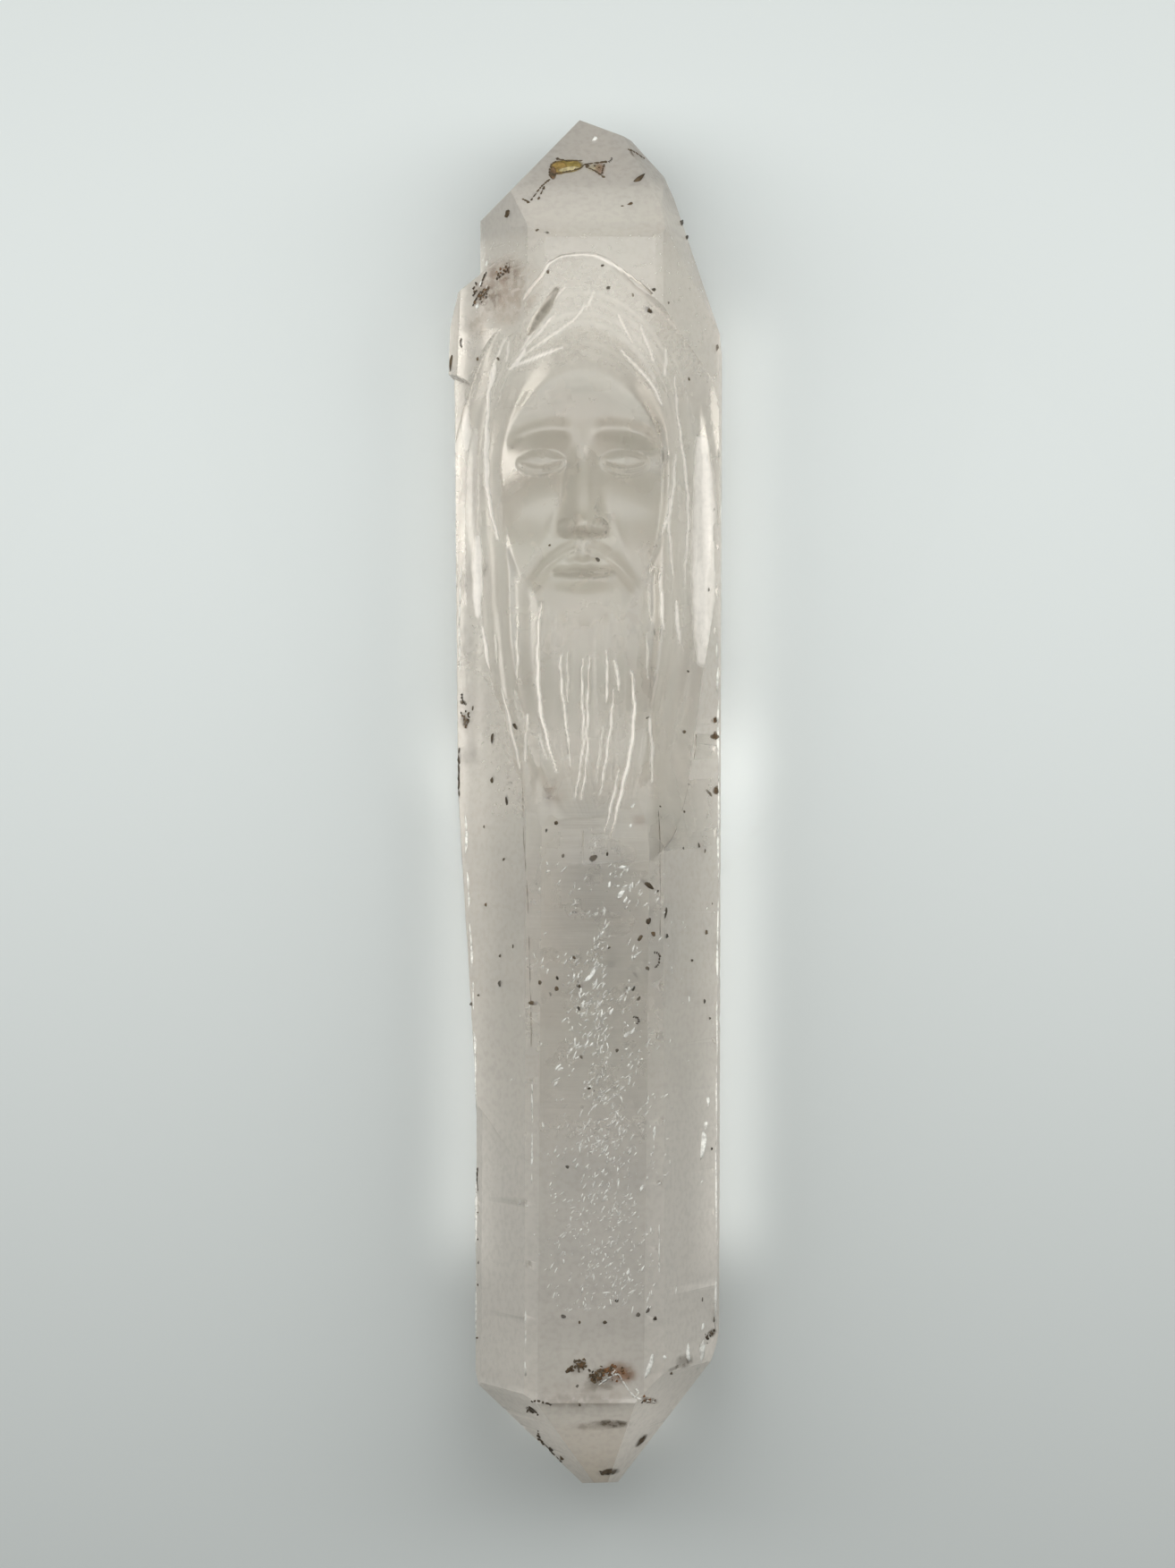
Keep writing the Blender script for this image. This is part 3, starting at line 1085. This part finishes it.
# Brown clouds and iron films
stains = {
    "films": [  # x, y, width, height, turn, depth, strength, tone
        (-13.4, 8.9, 1.4, 2.2, 0, 0.4, 0.9, 0.25),
        (-13.3, 17.6, 1.6, 5, 0, 0.5, 0.5, 0.2),
        (-13.2, 24, 1.4, 3.4, 0, 0.5, 0.5, 0.25),
        (-11.1, 26, 1, 1.6, 0, 0.5, 0.6, 0.2),
        (-3.6, 1, 2.8, 3.4, 0, 0.3, 0.5, 0.5),
        (-4, 0, 1.2, 1.4, 0, 0.2, 0.6, 0.4),
        (5.9, -2.5, 1.7, 2.4, 0, 0.15, 0.6, 0.5),
        (12.9, -5.3, 2, 1.6, 0, 0.5, 0.6, 0.4),
        (-6.3, 67.5, 2.4, 1.1, 35, 0.5, 0.6, 0.3),
        (10.7, -21.7, 1.2, 1.2, 0, 4, 0.9, 0.05),
        (2.9, -18.4, 1, 1, 0, 4, 0.9, 0.05),
    ],
    "skins": [  # the same at the surface, x, y, width, height, turn, strength, tone
        (-8.8, 57, 8, 9, -30, 0.3, 0.5),
        (-9.2, 59.2, 4, 3.2, 20, 0.45, 0.4),
        (-11, 56.4, 3.2, 3.6, 20, 0.4, 0.32),
        (-12.2, 53.2, 2.8, 4, 0, 0.25, 0.4),
        (3.9, -63.9, 4.4, 2.9, -8, 0.5, 0.5),
        (4.3, -64, 2.6, 1.5, -12, 0.4, 0.55),
        (1.6, -65.3, 4.2, 1.6, 0, 0.35, 0.3),
        (-0.8, -63.3, 2.4, 1.6, 25, 0.6, 0.3),
        (1.5, -64.2, 3, 1.9, 8, 0.7, 0.3),
        (-0.5, -66.6, 12, 4.4, 0, 0.14, 0.3),
        (-0.8, -67.1, 12.4, 1.6, 0, 0.17, 0.3),
        (7.2, -67, 2.2, 0.8, -10, 0.6, 0.4),
        (1.9, -69.8, 7.6, 1.1, 3, 0.5, 0.25),
        (2.9, -69.6, 4.4, 1, -3, 0.85, 0.15),
        (6.2, -71.5, 0.7, 2.1, -42, 1.2, 0.22),
        (11, -62.6, 2.3, 1.7, 25, 0.7, 0.2),
        (9.9, -63.4, 1.6, 0.5, 25, 0.7, 0.2),
        (14.1, -59.5, 1.5, 0.9, 40, 1.1, 0.25),
        (2.7, -75, 2.4, 0.8, 8, 1.6, 0.2),
        (-6.05, -68.1, 1.4, 0.7, -20, 1.3, 0.2),
        (-4.8, 54.7, 1, 6.2, -34, 0.5, 0.1),
        (-13.7, 11, 0.9, 0.6, -20, 1.2, 0.2),
        (-13.55, 9, 1, 1.8, 0, 0.9, 0.3),
        (14.55, 9, 1.3, 0.6, 0, 1.6, 0.32),
        (14.5, 7.2, 1.3, 0.7, 0, 1.6, 0.3),
        (14.7, 1.2, 1, 1.1, 0, 2, 0.3),
        (13.8, 0.9, 1.1, 0.35, -50, 2, 0.2),
    ],
    "lines": [  # fine dark lines along the crystal's long edges
        [(-7.05, 1.5), (-6.9, -4.7), (-6.5, -10.6), (-6.2, -20.3), (-6.05, -28)],
        [(8.1, -1), (8.3, -5), (8.3, -16.5)],
    ],
    "clots": [  # ragged heaps of crumbs, x, y, width, height, turn, number, tone
        (-0.6, -63, 1.3, 1, 30, 34, 0.3),
        (-1.8, -63.6, 1.4, 0.5, 30, 14, 0.35),
        (1.1, -64.4, 1.9, 1.2, 10, 46, 0.3),
        (2.4, -63.6, 1.7, 0.9, 20, 20, 0.4),
        (3.6, -64.2, 2.4, 1.4, -10, 16, 0.42),
        (7, -67, 1.8, 0.5, -15, 12, 0.4),
        (2.4, -75.1, 1.7, 0.6, 5, 16, 0.2),
        (-6, -68.1, 1.2, 0.6, -20, 12, 0.15),
        (-5, -71.4, 0.4, 1.4, 20, 8, 0.15),
        (6.2, -71.5, 0.5, 1.4, -42, 12, 0.15),
        (13.8, -59.8, 0.8, 1.8, -30, 14, 0.2),
        (-11.5, 56.7, 1.4, 2.6, -30, 20, 0.3),
        (-9.4, 59.2, 2.4, 1.2, 40, 12, 0.36),
        (-13.4, 9.2, 0.8, 2, 0, 18, 0.3),
    ],
    "seed": 8,
    "skinSolid": 0.4,
    "line": (0.13, flush, 0.35, 0.3),  # width, depth, tone, fade
    "crumb": (0.16, 0.42),
    "crumbThickness": 0.16,
    "crumbDepth": 1.6 * flush,
}


def makeStains():
    chance = random.Random(stains["seed"])
    bm = newInside()
    for x, y, width, height, turn, depth, fade, tone in stains["films"]:
        addSheet(bm, x, y, width, height, turn, depth, fade, tone)
    for number, (x, y, width, height, turn, fade, tone) in enumerate(stains["skins"]):
        depth, solid = skinDepth(number), stains["skinSolid"]
        addSheet(bm, x, y, width, height, turn, depth, fade, tone, crumple=0, solid=solid)
    for points in stains["lines"]:
        addVein(bm, chance, points, *stains["line"])
    for x, y, width, height, turn, number, tone in stains["clots"]:
        across = Vector((math.cos(math.radians(turn)), math.sin(math.radians(turn))))
        for _ in range(number):
            offX, offY = chance.gauss(0, width / 4), chance.gauss(0, height / 4)
            spotX = x + offX * across.x - offY * across.y
            spotY = y + offX * across.y + offY * across.x
            size = chance.uniform(*stains["crumb"])
            shape = size * chance.uniform(1, 1.8), size, stains["crumbThickness"]
            addGrain(bm, chance, spotX, spotY, shape, chance.uniform(0, 180), stains["crumbDepth"],
                     tone * chance.uniform(0.5, 1.3), chance.uniform(0.7, 1))
    finishInside("iron_stains", bm, ironMineral)


makeStains()


# The golden inclusion in the window face, with a thin brown tail
golden = {
    "patches": [  # x, y, width, height, turn, fade, tone
        (-2.1, 70.95, 3.9, 1.6, 4, 2.2, 0.79),
        (-3, 70.8, 2, 1.7, 0, 2, 0.75),
        (-1.9, 70.65, 2.6, 0.55, 8, 2, 0.9),
        (-3.65, 70.2, 0.8, 1.6, 0, 2, 0.35),
        (1, 70.8, 1.9, 1.1, 0, 0.45, 0.9),
        (1.6, 70.65, 1.3, 1.7, 0, 0.5, 0.5),
        (5.7, 72.3, 1.9, 0.9, -28, 1, 0.33),
    ],
    "rims": [
        [(-3.8, 69.65), (-4.07, 70.1), (-3.9, 71.04), (-3.3, 71.5)],
        [(-3.04, 71.75), (-1.93, 71.53), (-0.4, 71.6)],
        [(-3.36, 70.14), (-2.3, 70.3), (-1.3, 70.5), (-0.5, 70.8)],
        [(-0.5, 70.8), (0.1, 71.2), (2.2, 71.4)],
        [(0, 70.9), (1.1, 70.4), (2, 69.75)],
        [(2.1, 71.2), (1.9, 70.6), (1.8, 70.1)],
        [(4.7, 72.9), (5.5, 72.5), (6.6, 71.8)],
    ],
    "knobs": [(-3.1, 71.75, 0.5), (-3.85, 70, 0.8), (-3.6, 69.9, 0.7), (2.2, 71.4, 0.5), (2, 69.75, 0.45),
              (0.2, 70.95, 0.6), (1, 71, 0.3), (1.5, 70.8, 0.3), (-6.45, 66.9, 0.5)],
    "tails": [
        [(-4, 69.5), (-4.6, 69), (-5.2, 68.4), (-6.2, 67)],
        [(-6.45, 67), (-7.1, 67.3)],
        [(-4.6, 68.7), (-5.4, 67.1)],
    ],
    "seed": 3,
    "lineWidth": 0.27,
    "lineDepth": 2 * flush,
    "lineTone": 0.2,
}


def makeGolden():
    chance = random.Random(golden["seed"])
    bm = newInside()
    depth, dark = golden["lineDepth"], golden["lineTone"]
    for number, (x, y, width, height, turn, fade, tone) in enumerate(golden["patches"]):
        addSheet(bm, x, y, width, height, turn, skinDepth(number), fade, tone, crumple=0, solid=1)
    for points in golden["rims"] + golden["tails"]:
        addVein(bm, chance, points, golden["lineWidth"], depth, dark)
    for x, y, size in golden["knobs"]:
        shape = size, size * 0.8, size * 0.4
        addGrain(bm, chance, x, y, shape, chance.uniform(0, 180), depth, dark)
    finishInside("golden_inclusion", bm, ironMineral)


makeGolden()


# Healed cracks: grey clouds deep in the shaft, white specks and feathers above them
veils = {
    "seed": 31,
    "sheets": [  # x, y, width, height, depth, strength, tone
        (3, -14, 12, 18, 4, 0.25, 0.4), (1.5, -24, 13, 20, 6, 0.35, 0.5), (3.5, -33, 12, 22, 3.5, 0.4, 0.7),
        (0.5, -42, 12, 20, 5, 0.45, 1), (3, -50, 13, 20, 3, 0.5, 1), (0, -56, 16, 14, 6, 0.6, 1),
        (-9, -30, 5, 40, 4, 0.3, 1), (11, -34, 5, 46, 4, 0.3, 1),
        (1, -5, 10, 18, 12, 0.8, 0), (1, -10, 10, 24, 15, 0.5, 0), (1, -52, 22, 30, 9, 0.6, 1),
    ],
    "specks": 2000,
    "speckX": (2, 3.2),  # middle and scatter
    "speckY": (-57, -7),
    "speckSize": (0.1, 0.22),
    "speckStretch": (1.5, 6.5),
    "speckThickness": 0.14,
    "speckTurn": (60, 22),  # middle and scatter
    "speckDepth": (1.7, 0.6),  # times flush
    "thinning": (8, 34),  # how far below the middle they thin out towards the beard
    "featherThickness": 0.2,
    "edgeFade": 0.7,
    "crack": (0.24, 2.5 * flush, 0, 0.75),  # width, depth, tone, fade
    "edges": [  # bright rims and edges of the stone, line and width
        ([(14.6, 18.5), (14.75, 8), (14.75, -10), (14.6, -30), (14.45, -58)], 0.4),
        ([(-13.4, -1), (-13.1, -10), (-12.6, -20), (-12.25, -34), (-12.15, -60)], 0.45),
        ([(-13.9, 26), (-14.1, 20), (-14, 14)], 0.3),
        ([(-6, -31), (-5.95, -37), (-6.05, -43.5)], 0.26),
        ([(-6.7, -57), (-6.75, -64)], 0.24),
        ([(8.2, -46.5), (8.2, -53.5)], 0.2),
        ([(7.6, -36.4), (7.6, -39)], 0.3),
    ],
    "feathers": [  # x, y, length, width, turn
        (2.66, -9.3, 0.9, 0.3, 80), (4.4, -11.1, 0.9, 0.35, 60), (5.3, -0.5, 0.8, 0.3, 45),
        (5, -2.8, 0.5, 0.3, 80), (1.05, -4.7, 1, 0.25, 88), (4.1, -7.4, 1.1, 0.35, 5),
        (0.1, -20, 1.3, 0.45, 50), (1.9, -14.7, 0.9, 0.3, 50), (5.5, -17.4, 0.5, 0.3, 60),
        (9.6, -18.9, 1, 0.25, 95), (11.5, -22.1, 0.8, 0.3, 95), (5.2, -25.8, 0.8, 0.35, 60),
        (-1.8, -28, 0.9, 0.35, 50), (-2.9, -30, 0.9, 0.3, 35),
        (4, -10.2, 1.7, 0.6, 60), (0.9, -19.1, 2.4, 0.45, 58), (-1.3, -19.5, 0.8, 0.3, 80),
        (2.8, -23.6, 1, 0.35, 60), (4.7, -26, 1.2, 0.4, 45), (-3.2, -29.8, 1, 0.3, 50),
        (-3.3, -31.5, 0.9, 0.3, 60), (7.6, -37.2, 1.6, 0.4, 80), (12.9, -38.5, 3.2, 1.1, 80),
        (13.3, -36.4, 1.4, 0.5, 70), (13.6, -33.7, 1.4, 0.5, 80), (6.35, -43.1, 1.2, 0.4, 60),
        (12.8, -62, 3.6, 0.8, 74), (11.3, -61.3, 2.8, 0.6, 100), (13, -58.8, 1, 0.5, 70),
        (6.9, -63.4, 3, 0.9, 70), (8.7, -62.2, 0.7, 0.5, 0), (1, 73.9, 1.1, 0.5, 65),
        (-11, 60.2, 1, 0.35, 75), (-12, 55.4, 0.9, 0.4, 50), (-11.7, 57.9, 1, 0.25, 60),
    ],
    "cracks": [
        [(1.4, -65.3), (2.9, -64.3), (3.7, -64.1), (4.1, -64.8), (5.5, -66.6), (7.8, -67.2)],
        [(5.6, -65.7), (5.9, -66.2), (5.4, -66.7)],
        [(2.9, -64.1), (3.3, -63.6)],
    ],
}


def makeVeils():
    chance = random.Random(veils["seed"])
    bm = newInside()
    for x, y, width, height, depth, fade, tone in veils["sheets"]:
        tilt = chance.uniform(-0.2, 0.2), chance.uniform(-0.05, 0.05)
        addSheet(bm, x, y, width, height, chance.uniform(-8, 8), depth, fade, tone, tilt, 1)
    finishInside("pale_veils", bm, veilFinish())
    bm = newInside()
    for _ in range(veils["specks"]):
        x, y = chance.gauss(*veils["speckX"]), chance.uniform(*veils["speckY"])
        fewer = 0.35 * (1 - float(ramp(-y, *veils["thinning"])))
        if noise.noise((x * 0.4, y * 0.25, 4)) < chance.uniform(-0.5, 0.2) + fewer:
            continue
        size = chance.uniform(*veils["speckSize"])
        shape = size * chance.uniform(*veils["speckStretch"]), size, veils["speckThickness"]
        addGrain(bm, chance, x, y, shape, chance.gauss(*veils["speckTurn"]),
                 chance.uniform(*veils["speckDepth"]) * flush, 0, chance.uniform(0.25, 1))
    for x, y, length, width, turn in veils["feathers"]:
        addGrain(bm, chance, x, y, (length, width, veils["featherThickness"]), turn, flush, 0, 0.85, 2)
    for points in veils["cracks"]:
        addVein(bm, chance, points, *veils["crack"])
    for points, width in veils["edges"]:
        addVein(bm, chance, points, width, tone=0, fade=veils["edgeFade"])
    finishInside("white_wisps", bm, whiteWisp)


makeVeils()


# Table, light and camera
studio = {
    "tableHalf": 1.5,  # metres
    "tableDrop": 0.0002,  # below the stone
    "tableColour": (0.66, 0.68, 0.67, 1),
    "tableRoughness": 0.6,
    "skyColour": (0.97, 1, 0.965, 1),
    "skyStrength": 0.25,
    "windowColour": (0.97, 1, 1),
    "glowColour": (1, 1, 0.97),
}


def makeTable():
    bm = bmesh.new()
    bmesh.ops.create_grid(bm, x_segments=1, y_segments=1, size=studio["tableHalf"])
    table = newObject("table", bm)
    table.location.z = -studio["tableDrop"]
    paper, tree, shader = newFinish("pale_table")
    feed(tree, shader, {"Base Color": studio["tableColour"], "Roughness": studio["tableRoughness"]})
    table.data.materials.append(paper)


# soft lamps over the table that aren't mirrored in the stone's flat faces, in metres;
# the narrow ones low over the wand stand in for the light that it throws on the table beside it
lamps = [  # name, place, width and length, power, spread
    ("window", (0, 0.062, 0.19), (0.8, 0.12), 0.95, 180),
    ("leftGlow", (-0.0133, -0.0225, 0.036), (0.004, 0.059), 0.00047, 22),
    ("rightGlow", (0.016, -0.0215, 0.036), (0.004, 0.061), 0.0006, 22),
    ("leftUpperGlow", (-0.0165, 0.028, 0.036), (0.004, 0.054), 0.0002, 22),
    ("rightUpperGlow", (0.017, 0.028, 0.036), (0.004, 0.054), 0.00027, 22),
    ("footGlow", (0.0012, -0.069, 0.045), (0.018, 0.008), 0.00017, 16),
]


def softLight(name, place, size, power, spread):
    data = bpy.data.lights.new(name, "AREA")
    data.shape = "RECTANGLE"
    data.size, data.size_y = size
    data.energy = power
    data.color = studio["windowColour"] if name == "window" else studio["glowColour"]
    data.spread = math.radians(spread)
    light = bpy.data.objects.new(name, data)
    bpy.context.scene.collection.objects.link(light)
    light.location = place
    light.visible_camera = False
    light.visible_glossy = False


def makeWorld():
    world = bpy.data.worlds.new("studio")
    world.use_nodes = True
    sky = {"Color": studio["skyColour"], "Strength": studio["skyStrength"]}
    feed(world.node_tree, world.node_tree.nodes["Background"], sky)
    bpy.context.scene.world = world


def makeCamera():
    data = bpy.data.cameras.new("camera")
    data.sensor_fit = "AUTO"
    data.sensor_width = view["sensor"]
    data.lens = view["sensor"] * (view["height"] - axisZ) / view["longSide"]
    camera = bpy.data.objects.new("camera", data)
    bpy.context.scene.collection.objects.link(camera)
    camera.location = Vector((view["x"], view["y"], view["height"])) * millimetre
    bpy.context.scene.camera = camera


makeTable()
makeWorld()
for lamp in lamps:
    softLight(*lamp)
makeCamera()
bpy.context.scene.view_settings.view_transform = "Standard"
